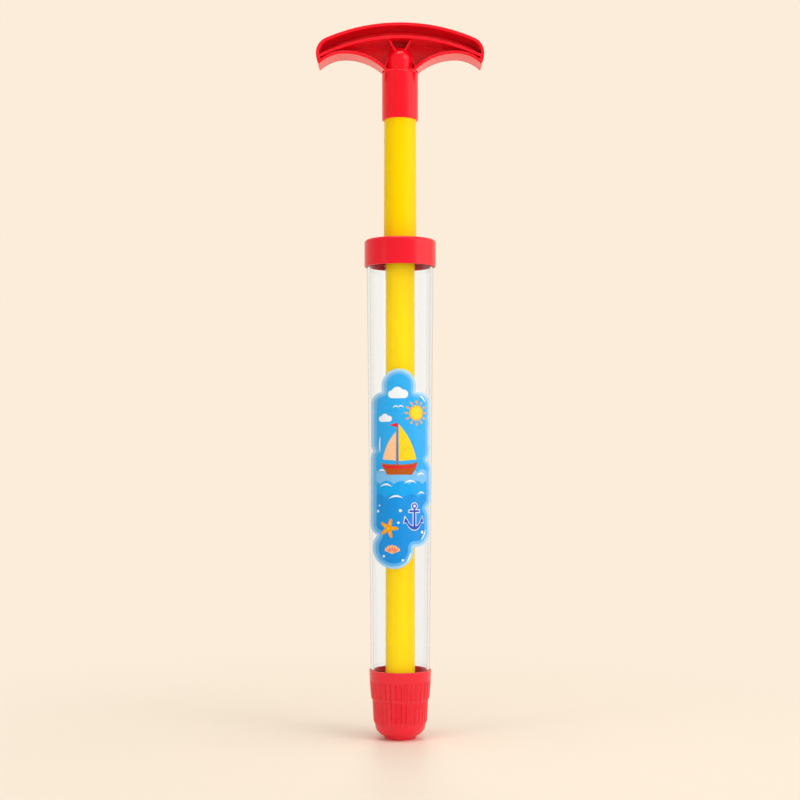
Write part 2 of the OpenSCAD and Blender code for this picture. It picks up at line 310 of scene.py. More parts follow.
# The tube's edges are painted with two thin grey lines of shade, one along the bore and one along the
# outside: the glass's colour turns grey where its wall is seen edge-on, in place of the dark edges that
# refraction gives.
edge_on = add("LayerWeight", {"Blend": 0.5}).outputs["Facing"]
painted_edge_shade = add("ValToRGB", {"Fac": edge_on})
painted_edge_shade.color_ramp.elements[0].color = (0.985, 0.99, 0.995, 1)
painted_edge_shade.color_ramp.elements[1].color = (0.1, 0.1, 0.1, 1)
for share, tone in ((0.46, 0.99), (0.56, 0.84), (0.66, 0.98), (0.78, 0.92), (0.88, 0.25)):
    painted_edge_shade.color_ramp.elements.new(share).color = (tone, tone, tone, 1)
clear = add("BsdfPrincipled", {
    "Base Color": painted_edge_shade.outputs["Color"], "Roughness": haze, "IOR": 1.49,
    "Transmission Weight": 1.0, "Specular Tint": (0.12, 0.12, 0.12, 1), "Normal": ripple,
})
see_through = add("BsdfTransparent", {"Color": (0.985, 0.985, 0.985, 1)})
shadow_ray = add("LightPath").outputs["Is Shadow Ray"]
mixed = add("MixShader", {"Fac": shadow_ray, 1: clear.outputs[0], 2: see_through.outputs[0]})
depth = add("VolumeAbsorption", {"Color": (0.35, 0.36, 0.38, 1), "Density": 20.0})
add("OutputMaterial", {"Surface": mixed.outputs[0], "Volume": depth.outputs[0]})
barrel.data.materials.append(clear_finish)
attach(barrel, "barrel_group")
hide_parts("barrel")


# Gasket
# A flat black rubber ring lies on the floor of the nozzle cap's socket, and the barrel's
# lower end presses on it. It is stamped from sheet, so its edges are square.
GASKET_EDGE = 0.12
low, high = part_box("barrel_gasket")
gasket_low_z, gasket_top_z, gasket_r = low.z / MM, high.z / MM, high.x / MM
gasket = lathe("barrel_gasket_ring", rounded([
    (BARREL_LOW_R - BARREL_WALL, gasket_low_z, GASKET_EDGE),
    (gasket_r, gasket_low_z, GASKET_EDGE),
    (gasket_r, gasket_top_z, GASKET_EDGE),
    (BARREL_LOW_R - BARREL_WALL, gasket_top_z, GASKET_EDGE),
]))

rubber_finish, add = new_material("black_seal_rubber")
place = add("TexCoord").outputs["Object"]
grain = add("TexNoise", {"Vector": place, "Scale": 2600.0, "Detail": 3.0}).outputs["Fac"]
colour = add("Mix", {"Factor": grain, "A": (0.018, 0.018, 0.019, 1), "B": (0.045, 0.044, 0.043, 1)},
             data_type="RGBA").outputs["Result"]
matt = add("MapRange", {"Value": grain, "To Min": 0.5, "To Max": 0.7}).outputs["Result"]
skin = add("Bump", {"Height": grain, "Strength": 0.15, "Distance": 0.0001}).outputs["Normal"]
rubber = add("BsdfPrincipled", {"Base Color": colour, "Roughness": matt, "Normal": skin})
add("OutputMaterial", {"Surface": rubber.outputs[0]})
gasket.data.materials.append(rubber_finish)
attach(gasket, "barrel_group")
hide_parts("barrel_gasket")


# Nozzle cap
# The nozzle cap is moulded in one from red plastic, in two fluted tiers with a plain band on
# top and a round base. It is pressed onto the barrel, and the jet hole is under its foot.
CAP_H = 41.0
CAP_RIM_WALL = 0.9
CAP_RIM_DROP = 0.1
SOCKET_FIT = 0.05
CAP_BAND_Z = CAP_H - 6.5
CAP_STEP_Z = CAP_H - 18.2
TIER_STEP_H = 1.5
RIB_END_H = 1.9
BASE_ROUND = 7.0
FOOT_R = 10.0
FOOT_H = 1.6
FOOT_DRAW = 0.8
FOOT_LEDGE = 0.2
FOOT_RECESS_R = 6.4
FOOT_RECESS_H = 1.0
JET_R = 2.0
BASE_WALL = 1.55
BAND_DRAW, TIER_DRAW, TIER_STEP, LOW_TIER_DRAW, RIB_END_STEP = 0.3, 0.85, 0.8, 0.65, 0.85
FLUTE_COUNT = 34
FLUTE_DEPTH = 0.82
FLUTE_SEGMENTS = 12
FLUTE_SHARE = 4 / FLUTE_SEGMENTS
FLUTE_ROW = 0.6
FLUTE_MARGIN = 0.1
ROOT_SLACK = 0.01
CAP_SHARP_ANGLE = 40
PISTON_GAP = 0.5
BASE_STEPS = 14
FINE_EDGE, SOFT_EDGE, BOLD_EDGE = 0.2, 0.3, 0.6
ROOT_EDGE, CAP_RIM_EDGE = 0.4, 0.35
socket_z = gasket_low_z
socket_low_r = barrel_r(socket_z) + SOCKET_FIT
socket_top_r = barrel_r(CAP_H) + SOCKET_FIT
rim_r = socket_top_r + CAP_RIM_WALL
band_r = rim_r - BAND_DRAW
tier_r = band_r - TIER_DRAW
low_tier_top_r = tier_r - TIER_STEP
low_tier_r = low_tier_top_r - LOW_TIER_DRAW
root_r = low_tier_r - RIB_END_STEP
root_z = FOOT_H + BASE_ROUND
chamber_r = root_r - BASE_WALL
ledge_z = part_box("piston_head")[0].z / MM - PISTON_GAP
seat_r = BARREL_LOW_R - BARREL_WALL
flute_pitch = 2 * math.pi / FLUTE_COUNT
flute_half = flute_pitch * tier_r * FLUTE_SHARE
# The tiers are drawn wider from the bottom up; each flute follows the lean of its own tier.
UPPER_LEAN = (band_r - tier_r) / (CAP_BAND_Z - CAP_STEP_Z - TIER_STEP_H)
LOWER_LEAN = (low_tier_top_r - low_tier_r) / (CAP_STEP_Z - root_z - RIB_END_H)


def flute_floor(z, across, leaning_r, end_z):
    """Radius of a flute's round hollow at a distance across it; it closes in a round end above end_z."""
    off = min(math.hypot(across, max(z - end_z, 0)) / flute_half, 1)
    return leaning_r - FLUTE_DEPTH * (1 - off ** 2)


def fluted(r, z, angle):
    """Radius of the cap's outside with the flutes pressed in."""
    across = (angle / flute_pitch % 1 - 0.5) * flute_pitch * tier_r
    if z >= CAP_STEP_Z:
        leaning_r = tier_r + (z - CAP_STEP_Z - TIER_STEP_H) * UPPER_LEAN
        floor = flute_floor(z, across, leaning_r, CAP_BAND_Z - flute_half)
        if z >= CAP_BAND_Z:
            return r
    else:
        leaning_r = low_tier_r + (z - root_z - RIB_END_H) * LOWER_LEAN
        floor = flute_floor(z, across, leaning_r, CAP_STEP_Z)
    return min(r, floor)


def with_rows(section, spacing, low_z, high_z):
    """The section with more points, so that its outside between two heights has rows at a spacing."""
    points = []
    for here, after in zip(section, section[1:] + section[:1]):
        points.append(here)
        outside = min(here[0], after[0]) > root_r - ROOT_SLACK
        if outside and low_z <= min(here[1], after[1]) and max(here[1], after[1]) <= high_z:
            steps = math.ceil(abs(after[1] - here[1]) / spacing)
            points += [between(here, after, step / steps) for step in range(1, steps)]
    return points


base_mid_r = root_r - BASE_ROUND
foot_turn = math.acos((FOOT_R - base_mid_r) / BASE_ROUND)
base_turns = [foot_turn * (1 - step / BASE_STEPS) for step in range(BASE_STEPS)]
base_arc = [(base_mid_r + BASE_ROUND * math.cos(turn), root_z - BASE_ROUND * math.sin(turn), 0)
            for turn in base_turns]
cap_section = rounded([
    (FOOT_RECESS_R, 0, SOFT_EDGE),
    (FOOT_R - FOOT_DRAW, 0, BOLD_EDGE),
    (FOOT_R, FOOT_H - FOOT_LEDGE, FINE_EDGE),
    *base_arc,
    (root_r, root_z, ROOT_EDGE),
    (low_tier_r, root_z + RIB_END_H, BOLD_EDGE),
    (low_tier_top_r, CAP_STEP_Z, SOFT_EDGE),
    (tier_r, CAP_STEP_Z + TIER_STEP_H, BOLD_EDGE),
    (band_r, CAP_BAND_Z, 0),
    (rim_r, CAP_H - CAP_RIM_DROP, CAP_RIM_EDGE),
    (socket_top_r, CAP_H, FINE_EDGE),
    (socket_low_r, socket_z, 0),
    (seat_r, socket_z, FINE_EDGE),
    (seat_r, ledge_z, SOFT_EDGE),
    (chamber_r, ledge_z, SOFT_EDGE),
    (chamber_r, FOOT_H + BASE_WALL, BASE_ROUND - BASE_WALL),
    (JET_R, FOOT_H + BASE_WALL, FINE_EDGE),
    (JET_R, FOOT_RECESS_H, FINE_EDGE),
    (FOOT_RECESS_R, FOOT_RECESS_H, SOFT_EDGE),
])
cap_rows = with_rows(cap_section, FLUTE_ROW, root_z - FLUTE_MARGIN, CAP_BAND_Z + FLUTE_MARGIN)
nozzle_cap = lathe("fluted_nozzle_cap", cap_rows, segments=FLUTE_COUNT * FLUTE_SEGMENTS,
                   radius_at=fluted, sharp_from=CAP_SHARP_ANGLE)


def moulded_plastic(name, deep, bright, roughness, shine, flow_scale=55, streak=1):
    """Gloss moulded plastic: slow colour flow, a faint orange-peel skin and uneven gloss."""
    material, add = new_material(name)
    place = add("TexCoord").outputs["Object"]
    scale = (flow_scale, flow_scale, flow_scale * streak)
    stretched = add("Mapping", {"Vector": place, "Scale": scale}).outputs["Vector"]
    flow = add("TexNoise", {"Vector": stretched, "Scale": 1.0, "Detail": 0.0}).outputs["Fac"]
    colour = add("Mix", {"Factor": flow, "A": (*deep, 1), "B": (*bright, 1)}, data_type="RGBA")
    gloss = add("MapRange", {"Value": flow, "To Min": roughness * 0.85, "To Max": roughness * 1.15})
    peel = add("TexNoise", {"Vector": place, "Scale": 1400.0, "Detail": 0.0}).outputs["Fac"]
    skin = add("Bump", {"Height": peel, "Strength": 0.03, "Distance": 0.0001}).outputs["Normal"]
    plastic = add("BsdfPrincipled", {
        "Base Color": colour.outputs["Result"], "Roughness": gloss.outputs["Result"], "IOR": 1.49,
        "Specular IOR Level": shine, "Normal": skin,
    })
    add("OutputMaterial", {"Surface": plastic.outputs[0]})
    return material


nozzle_red = moulded_plastic("red_nozzle_plastic", (0.80, 0.003, 0.021), (0.86, 0.005, 0.027),
                             roughness=0.17, shine=0.58)
nozzle_cap.data.materials.append(nozzle_red)
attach(nozzle_cap, "barrel_group")
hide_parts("nozzle_cap")


# Guide cap
# The guide cap is moulded from red plastic, a little duller than the nozzle cap. It snaps over
# the bead at the barrel's top, and the tube inside it steers the plunger's rod.
GUIDE_TOP_T = 2.8
GUIDE_EDGE = 1.8
GUIDE_TUBE_H = 12.0
GUIDE_TUBE_WALL = 1.6
GUIDE_HOLE_R = 9.05
SKIRT_FIT = 0.1
GUIDE_SIDES = 224
GUIDE_RIM_EDGE, HOLE_EDGE, TUBE_FILLET, ROOF_FILLET = 0.4, 0.35, 0.5, 0.1
low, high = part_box("guide_cap")
guide_low_z, guide_top_z, guide_r = low.z / MM, high.z / MM, high.x / MM
skirt_r = BARREL_TOP_R + SKIRT_FIT
guide_roof_z = guide_top_z - GUIDE_TOP_T
guide_tube_low_z = guide_top_z - GUIDE_TUBE_H
guide_tube_r = GUIDE_HOLE_R + GUIDE_TUBE_WALL
guide_cap = lathe("barrel_guide_cap", rounded([
    (skirt_r, guide_low_z, SOFT_EDGE),
    (guide_r, guide_low_z, GUIDE_RIM_EDGE),
    (guide_r, guide_top_z, GUIDE_EDGE),
    (GUIDE_HOLE_R, guide_top_z, HOLE_EDGE),
    (GUIDE_HOLE_R, guide_tube_low_z, SOFT_EDGE),
    (guide_tube_r, guide_tube_low_z, SOFT_EDGE),
    (guide_tube_r, guide_roof_z, TUBE_FILLET),
    (skirt_r, guide_roof_z, ROOF_FILLET),
    (skirt_r, bead_z + BEAD_H / 2, FINE_EDGE),
    (skirt_r + BEAD_OUT, bead_z, GUIDE_RIM_EDGE),
    (skirt_r, bead_z - BEAD_H / 2, FINE_EDGE),
]), segments=GUIDE_SIDES)
guide_red = moulded_plastic("red_guide_plastic", (0.82, 0.003, 0.018), (0.88, 0.005, 0.024),
                            roughness=0.24, shine=0.42)
guide_cap.data.materials.append(guide_red)
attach(guide_cap, "barrel_group")
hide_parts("guide_cap")


# Plunger rod
# The rod is a length of yellow extruded tube. It runs from the piston through the guide cap
# up into the handle's socket, where it is glued.
ROD_WALL = 1.5
TUBE_EDGE = 0.25
low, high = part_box("plunger_rod")
rod_low_z, rod_top_z, rod_r = low.z / MM, high.z / MM, high.x / MM
rod = lathe("plunger_rod_tube", rounded([
    (rod_r - ROD_WALL, rod_low_z, TUBE_EDGE),
    (rod_r, rod_low_z, TUBE_EDGE),
    (rod_r, rod_top_z, TUBE_EDGE),
    (rod_r - ROD_WALL, rod_top_z, TUBE_EDGE),
]))
yellow_finish = moulded_plastic("yellow_tube_plastic", (0.96, 0.63, 0.0), (1.0, 0.69, 0.0),
                                roughness=0.25, shine=0.10, flow_scale=120, streak=0.04)
rod.data.materials.append(yellow_finish)
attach(rod, "plunger")
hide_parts("plunger_rod")


# Stop sleeve
# A second yellow tube, moulded with a slight taper, is pushed over the upper part of the rod.
# Its lower end lands on the guide cap and ends the stroke; its top is glued into the handle.
SLEEVE_BORE_FIT = 0.05
SLEEVE_DRAW = 0.25
SLEEVE_EDGE = 0.4
low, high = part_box("stop_sleeve")
sleeve_low_z, sleeve_top_z, sleeve_low_r = low.z / MM, high.z / MM, high.x / MM
handle_low_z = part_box("handle")[0].z / MM
sleeve_top_r = sleeve_low_r - SLEEVE_DRAW
sleeve_bore_r = rod_r + SLEEVE_BORE_FIT
sleeve = lathe("stop_sleeve_tube", rounded([
    (sleeve_bore_r, sleeve_low_z, TUBE_EDGE),
    (sleeve_low_r, sleeve_low_z, SLEEVE_EDGE),
    (sleeve_top_r, handle_low_z, 0),
    (sleeve_top_r, sleeve_top_z, TUBE_EDGE),
    (sleeve_bore_r, sleeve_top_z, TUBE_EDGE),
]))
sleeve.data.materials.append(yellow_finish)
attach(sleeve, "plunger")
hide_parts("stop_sleeve")


# Piston head
# The piston head is a red moulded plug with two flanges. Its hollow spigot is glued into the
# rod's lower end, and the seal sits in the groove between the flanges.
FLANGE_H = 2.2
PISTON_H = 9.4
GROOVE_DEPTH = 3.6
SPIGOT_WALL = 2.0
SPIGOT_FIT = 0.05
FLANGE_EDGE, GROOVE_FILLET, SPIGOT_FILLET = 0.5, 0.1, 0.05
low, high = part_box("piston_head")
piston_low_z, spigot_top_z, flange_r = low.z / MM, high.z / MM, high.x / MM
spigot_r = rod_r - ROD_WALL - SPIGOT_FIT
groove_r = flange_r - GROOVE_DEPTH
piston_top_z = piston_low_z + PISTON_H
piston = lathe("rod_piston_head", rounded([
    (0, piston_low_z, 0),
    (flange_r, piston_low_z, FLANGE_EDGE),
    (flange_r, piston_low_z + FLANGE_H, SOFT_EDGE),
    (groove_r, piston_low_z + FLANGE_H, GROOVE_FILLET),
    (groove_r, piston_top_z - FLANGE_H, GROOVE_FILLET),
    (flange_r, piston_top_z - FLANGE_H, SOFT_EDGE),
    (flange_r, piston_top_z, FLANGE_EDGE),
    (spigot_r, piston_top_z, SPIGOT_FILLET),
    (spigot_r, spigot_top_z, FLANGE_EDGE),
    (spigot_r - SPIGOT_WALL, spigot_top_z, SOFT_EDGE),
    (spigot_r - SPIGOT_WALL, piston_low_z + FLANGE_H, FLANGE_EDGE),
    (0, piston_low_z + FLANGE_H, 0),
]))
piston.data.materials.append(guide_red)
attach(piston, "plunger")
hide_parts("piston_head")


# Piston seal
# The seal is a moulded black rubber ring with two lips that wipe the bore, one for each way
# of the stroke. It is stretched over the flange into the piston's groove.
SEAL_NOTCH = 1.1
SEAL_PLAY = 0.2
SEAL_EDGE, LIP_EDGE, NOTCH_ROUND = 0.15, 0.25, 0.6
low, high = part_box("piston_seal")
seal_low_z, seal_top_z, seal_r = low.z / MM, high.z / MM, high.x / MM
seal = lathe("piston_seal_ring", rounded([
    (groove_r + SEAL_PLAY, seal_low_z, SEAL_EDGE),
    (seal_r, seal_low_z, LIP_EDGE),
    (seal_r - SEAL_NOTCH, (seal_low_z + seal_top_z) / 2, NOTCH_ROUND),
    (seal_r, seal_top_z, LIP_EDGE),
    (groove_r + SEAL_PLAY, seal_top_z, SEAL_EDGE),
]))
seal.data.materials.append(rubber_finish)
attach(seal, "seal")
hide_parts("piston_seal")


# Handle
# The T handle is one red moulding: a deep tray, open at the front, with a long curved rib in it
# and a round socket with a braced dome on top. It is glued over the ends of the sleeve and the rod.
HANDLE_T = 18.4
HANDLE_WALL = 1.9
WEB_T = 2.0
SOCKET_H = 29.0
SOCKET_BORE_H = 25.0
SOCKET_WALL = 1.3
CROWN_R = 112.0
CORNER_R = 10.0
TIP_R = 15.0
TIP_ROUND = 1.1
FINGER_X = 33.5
FINGER_RISE = 9.7
FINGER_TIP_R = 21.5
FINGER_SOCKET_R = 34.0
SKIRT_DROP = 1.5
RIB_DROP, RIB_T, RIB_R, RIB_SET_BACK = 7.8, 1.8, 110.0, 0.4
DOME_R, DOME_H = 8.0, 15.4
GUSSET_T, GUSSET_ANGLE, GUSSET_SET_BACK = 1.0, 30.0, 3.0
BRACE_TOP_X, BRACE_RISE, BRACE_FOOT_X, BRACE_SET_BACK = 7.0, 1.5, 10.5, 6.0
RIM_EDGE, BACK_EDGE, WEB_FILLET, RIB_EDGE = 0.5, 1.2, 0.7, 0.4
SOCKET_FOOT_EDGE, SHOULDER_EDGE = 0.5, 0.8
CROWN_STEPS, CORNER_STEPS, TIP_STEPS, TIP_ROUND_STEPS = 40, 20, 10, 6
FINGER_STEPS, FINGER_SOCKET_STEPS = 24, 30
EDGE_STEPS, RIB_STEPS, DOME_STEPS, DOME_SIDES = 4, 60, 16, 96
low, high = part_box("handle")
crown_z, end_x = high.z / MM, high.x / MM
shoulder_z = handle_low_z + SOCKET_H
dome_z = shoulder_z + DOME_H - DOME_R
socket_r = sleeve_top_r + SOCKET_FIT + SOCKET_WALL
corner_x = end_x - CORNER_R
crown_mid_z = crown_z - CROWN_R
corner_z = crown_mid_z + math.sqrt((CROWN_R - CORNER_R) ** 2 - corner_x ** 2)
finger_top_z = shoulder_z + FINGER_RISE


def arc(x, z, radius, start, end, steps):
    """Points along an arc about (x, z) from one angle to another, both ends included."""
    turns = [start + (end - start) * step / steps for step in range(steps + 1)]
    return [(x + radius * math.cos(turn), z + radius * math.sin(turn)) for turn in turns]


def handle_loop(inset):
    """The handle's front outline, drawn in from its edge by an inset, as points of (x, z)."""
    crown_end = math.atan2(corner_z - crown_mid_z, corner_x)
    tip_x, tip_round_r = end_x - TIP_R, TIP_R - inset
    finger_z, finger_r = finger_top_z - FINGER_TIP_R, FINGER_TIP_R + inset
    # The tip's arc and the finger curve meet at the wing's lowest point, which is rounded over.
    apart = Vector((FINGER_X - tip_x, finger_z - corner_z))
    along = (apart.length_squared + tip_round_r ** 2 - finger_r ** 2) / 2 / apart.length
    aside = math.sqrt(tip_round_r ** 2 - along ** 2)
    side = Vector((-apart.y, apart.x)).normalized()
    meet = Vector((tip_x, corner_z)) + apart.normalized() * along + side * aside
    tip_end = math.atan2(meet.y - corner_z, meet.x - tip_x) + TIP_ROUND / tip_round_r
    finger_start = math.atan2(meet.y - finger_z, meet.x - FINGER_X) + TIP_ROUND / finger_r
    curve_z, curve_r = finger_top_z - FINGER_SOCKET_R, FINGER_SOCKET_R + inset
    skirt_z = shoulder_z - SKIRT_DROP + inset
    finger_end = math.pi - math.asin((skirt_z - curve_z) / curve_r)
    right = arc(0, crown_mid_z, CROWN_R - inset, math.pi / 2, crown_end, CROWN_STEPS)[1:-1]
    right += arc(corner_x, corner_z, CORNER_R - inset, crown_end, 0, CORNER_STEPS)
    right += arc(tip_x, corner_z, tip_round_r, 0, tip_end, TIP_STEPS)[1:]
    fingers = arc(FINGER_X, finger_z, finger_r, finger_start, math.pi / 2, FINGER_STEPS)[:-1]
    before, after = Vector(right[-1]), Vector(fingers[0])
    for step in range(1, TIP_ROUND_STEPS):
        share = step / TIP_ROUND_STEPS
        point = before.lerp(meet, share).lerp(meet.lerp(after, share), share)
        right.append((point.x, point.y))
    right += fingers
    right += arc(FINGER_X, curve_z, curve_r, math.pi / 2, finger_end, FINGER_SOCKET_STEPS)
    top = [(0, crown_mid_z + CROWN_R - inset)]
    return top + right + [(0, skirt_z)] + [(-x, z) for x, z in reversed(right)]


def loft(name, loops):
    """A closed piece through loops of equal length, with flat ends."""
    count = len(loops[0])
    corners = [corner for loop in loops for corner in loop]
    faces = [tuple(range(count)), tuple(range(len(corners) - count, len(corners)))]
    for start in range(0, len(corners) - count, count):
        for index in range(count):
            here, following = start + index, start + (index + 1) % count
            faces.append((here, following, following + count, here + count))
    return new_piece(name, corners, faces)


def quarter():
    """Cosine and sine along a quarter turn."""
    return arc(0, 0, 1, 0, math.pi / 2, EDGE_STEPS)


half_t = HANDLE_T / 2
floor_y = half_t - WEB_T
# Points of (inset, depth) up the tray's wall from its floor, over the front rim and to the back.
tray = [(HANDLE_WALL + WEB_FILLET * (1 - s), floor_y - WEB_FILLET * (1 - c)) for c, s in quarter()]
tray += [(HANDLE_WALL - RIM_EDGE * (1 - c), -half_t + RIM_EDGE * (1 - s)) for c, s in quarter()]
tray += [(RIM_EDGE * (1 - s), -half_t + RIM_EDGE * (1 - c)) for c, s in quarter()]
tray += [(BACK_EDGE * (1 - c), half_t - BACK_EDGE * (1 - s)) for c, s in quarter()]
handle = loft("t_handle", [[(x, y, z) for x, z in handle_loop(inset)] for inset, y in tray])

rooted_y = half_t - WEB_T / 2
rib_mid_z = crown_z - RIB_DROP - RIB_R
rib_front_y = RIB_SET_BACK - half_t
rib_end = math.asin((end_x - HANDLE_WALL / 2) / RIB_R)
rib_section = rounded([
    (RIB_R - RIB_T, rib_front_y, RIB_EDGE),
    (RIB_R, rib_front_y, RIB_EDGE),
    (RIB_R, rooted_y, 0),
    (RIB_R - RIB_T, rooted_y, 0),
])
rib_turns = [rib_end * (2 * step / RIB_STEPS - 1) for step in range(RIB_STEPS + 1)]
rib = loft("long_rib", [[(r * math.sin(turn), y, rib_mid_z + r * math.cos(turn)) for r, y in rib_section]
                        for turn in rib_turns])

dome_foot_z = shoulder_z - SKIRT_DROP
dome_section = [(0, dome_foot_z), (DOME_R, dome_foot_z)]
dome_section += arc(0, dome_z, DOME_R, 0, math.pi / 2, DOME_STEPS)[:-1]
dome_section.append((0, dome_z + DOME_R))
dome = lathe("socket_dome", dome_section, segments=DOME_SIDES)
bore_top_z = handle_low_z + SOCKET_BORE_H
bore_r = sleeve_top_r + SOCKET_FIT
socket = lathe("handle_socket", rounded([
    (bore_r, handle_low_z, FINE_EDGE),
    (socket_r, handle_low_z, SOCKET_FOOT_EDGE),
    (socket_r, shoulder_z, SHOULDER_EDGE),
    (0, shoulder_z, 0),
    (0, bore_top_z, 0),
    (bore_r, bore_top_z, SOFT_EDGE),
]))


def thin_wall(name, foot, top, set_back):
    """A thin wall between two points of (x, z), from the tray's floor to a set-back behind its front."""
    across = (Vector(top) - Vector(foot)).orthogonal().normalized() * (GUSSET_T / 2)
    ends = [(-1, set_back - half_t), (1, set_back - half_t), (1, rooted_y), (-1, rooted_y)]
    return loft(name, [[(x + side * across.x, y, z + side * across.y) for side, y in ends]
                       for x, z in (foot, top)])


gusset_len = crown_z - RIB_DROP - RIB_T / 2 - dome_z
lean_x = gusset_len * math.sin(math.radians(GUSSET_ANGLE))
lean_z = gusset_len * math.cos(math.radians(GUSSET_ANGLE))
brace_foot_z = shoulder_z - SKIRT_DROP / 2
walls = []
for side in (-1, 1):
    walls.append(thin_wall("gusset", (0, dome_z), (side * lean_x, dome_z + lean_z), GUSSET_SET_BACK))
    walls.append(thin_wall("brace", (side * BRACE_FOOT_X, brace_foot_z),
                           (side * BRACE_TOP_X, dome_z + BRACE_RISE), BRACE_SET_BACK))


def fuse(whole, pieces):
    """Joins closed pieces of one moulding into one skin."""
    for piece in pieces:
        union = whole.modifiers.new("moulded_in_one", "BOOLEAN")
        union.operation = "UNION"
        union.solver = "EXACT"
        union.object = piece
    view = bpy.context.evaluated_depsgraph_get()
    joined = bpy.data.meshes.new_from_object(whole.evaluated_get(view))
    whole.modifiers.clear()
    whole.data = joined
    for piece in pieces:
        bpy.data.objects.remove(piece)
    whole.data.shade_smooth()
    whole.data.set_sharp_from_angle(angle=math.radians(SHARP_ANGLE))
    flat = whole.modifiers.new("even_shading", "WEIGHTED_NORMAL")
    flat.keep_sharp = True


fuse(handle, [rib, dome, socket, *walls])
handle_red = moulded_plastic("red_handle_plastic", (0.90, 0.001, 0.012), (0.95, 0.002, 0.018),
                             roughness=0.17, shine=0.4)
handle.data.materials.append(handle_red)
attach(handle, "plunger")
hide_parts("handle")


# Label
# The label is a die-cut plastic film with a softly lobed edge, glued round the front of the
# barrel. It is printed with a seaside picture in bright inks, inside a pale edge.
LABEL_Z = 160.8
LABEL_HALF_H = 58
LABEL_TURN = math.radians(4)
LABEL_GLUE = 0.12
LABEL_T = 0.2
LABEL_EDGE = 1.5
SKY_EDGE = 3.0
WATER_EDGE = 0.1
INK_T = 0.02
STRIP = 1.0
CUT_REACH = 1e-5
OUTLINE_TRIM = 0.001
OUTLINE_ROWS, INSET_STEPS, WAVE_STEPS = 240, 24, 90
DISC_STEPS, ARM_STEPS, STROKE_STEPS, SAIL_STEPS = 36, 12, 16, 12
ARM_TAPER, STROKE_TIP = 1.6, 0.12
# Lobes of the edge in millimetres from the label's middle: across, lower end, upper end, radius.
LABEL_LOBES = [
    (-2.0, 47.6, 49.2, 9.9), (9.8, 10.1, 38.4, 7.0), (9.6, -17.3, -0.5, 8.0), (8.0, -37.4, -28.3, 8.4),
    (-5.0, -47.2, -46.3, 11.6), (-10.8, -33.0, 6.1, 7.0), (-10.6, 14.8, 38.6, 7.0),
]


def lobed_row(lobes, t):
    """Left and right end of a lobed outline at a height."""
    ends = []
    for x, low, high, r in lobes:
        past = max(low - t, t - high, 0)
        if past <= r:
            half = math.sqrt(r ** 2 - past ** 2)
            ends += [x - half, x + half]
    return min(ends), max(ends)


def lobed_outline(lobes, inset=0.0):
    """The edge around a stack of overlapping lobes, drawn in evenly by an inset."""
    top = max(high + r for _, _, high, r in lobes) - inset - OUTLINE_TRIM
    foot = min(low - r for _, low, _, r in lobes) + inset + OUTLINE_TRIM
    turns = [math.pi * step / INSET_STEPS for step in range(INSET_STEPS + 1)]
    left, right = [], []
    for row in range(OUTLINE_ROWS + 1):
        t = foot + (top - foot) * (0.5 - 0.5 * math.cos(math.pi * row / OUTLINE_ROWS))
        rows = [(*lobed_row(lobes, t + inset * math.cos(turn)), inset * math.sin(turn))
                for turn in turns]
        left.append((max(start + drawn_in for start, _, drawn_in in rows), t))
        right.append((min(end - drawn_in for _, end, drawn_in in rows), t))
    return right + left[::-1]


def label_outline(inset=0.0):
    """The label's edge, measured straight across on the barrel, laid out flat."""
    flat = []
    for x, t in lobed_outline(LABEL_LOBES, inset):
        r = barrel_r(LABEL_Z + t)
        flat.append((r * math.asin(x / r), t))
    return flat


def wrapped_film(name, outlines, lift, thickness, finish):
    """Flat outlines of (across, up) as films of one thickness, rolled round the barrel at a lift."""
    flat = bmesh.new()
    for outline in outlines:
        under = [flat.verts.new((s, t, lift)) for s, t in outline]
        over = [flat.verts.new((s, t, lift + thickness)) for s, t in outline]
        flat.faces.new(under)
        flat.faces.new(over)
        for index in range(len(outline)):
            following = (index + 1) % len(outline)
            flat.faces.new((under[index], under[following], over[following], over[index]))
    across = [vertex.co.x for vertex in flat.verts]
    for step in range(math.ceil(min(across) / STRIP), math.floor(max(across) / STRIP) + 1):
        everything = flat.verts[:] + flat.edges[:] + flat.faces[:]
        bmesh.ops.bisect_plane(flat, geom=everything, dist=CUT_REACH,
                               plane_co=(step * STRIP, 0, 0), plane_no=(1, 0, 0))
    for vertex in flat.verts:
        s, t, depth = vertex.co
        r = barrel_r(LABEL_Z + t)
        turn = s / r + LABEL_TURN
        x, y = (r + depth) * math.sin(turn), -(r + depth) * math.cos(turn)
        vertex.co = (x * MM, y * MM, (LABEL_Z + t) * MM)
    bmesh.ops.recalc_face_normals(flat, faces=flat.faces)
    mesh = bpy.data.meshes.new(name)
    flat.to_mesh(mesh)
    flat.free()
    mesh.shade_smooth()
    mesh.set_sharp_from_angle(angle=math.radians(SHARP_ANGLE))
    mesh.materials.append(finish)
    film = bpy.data.objects.new(name, mesh)
    bpy.context.scene.collection.objects.link(film)
    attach(film, "barrel_group")
    return film


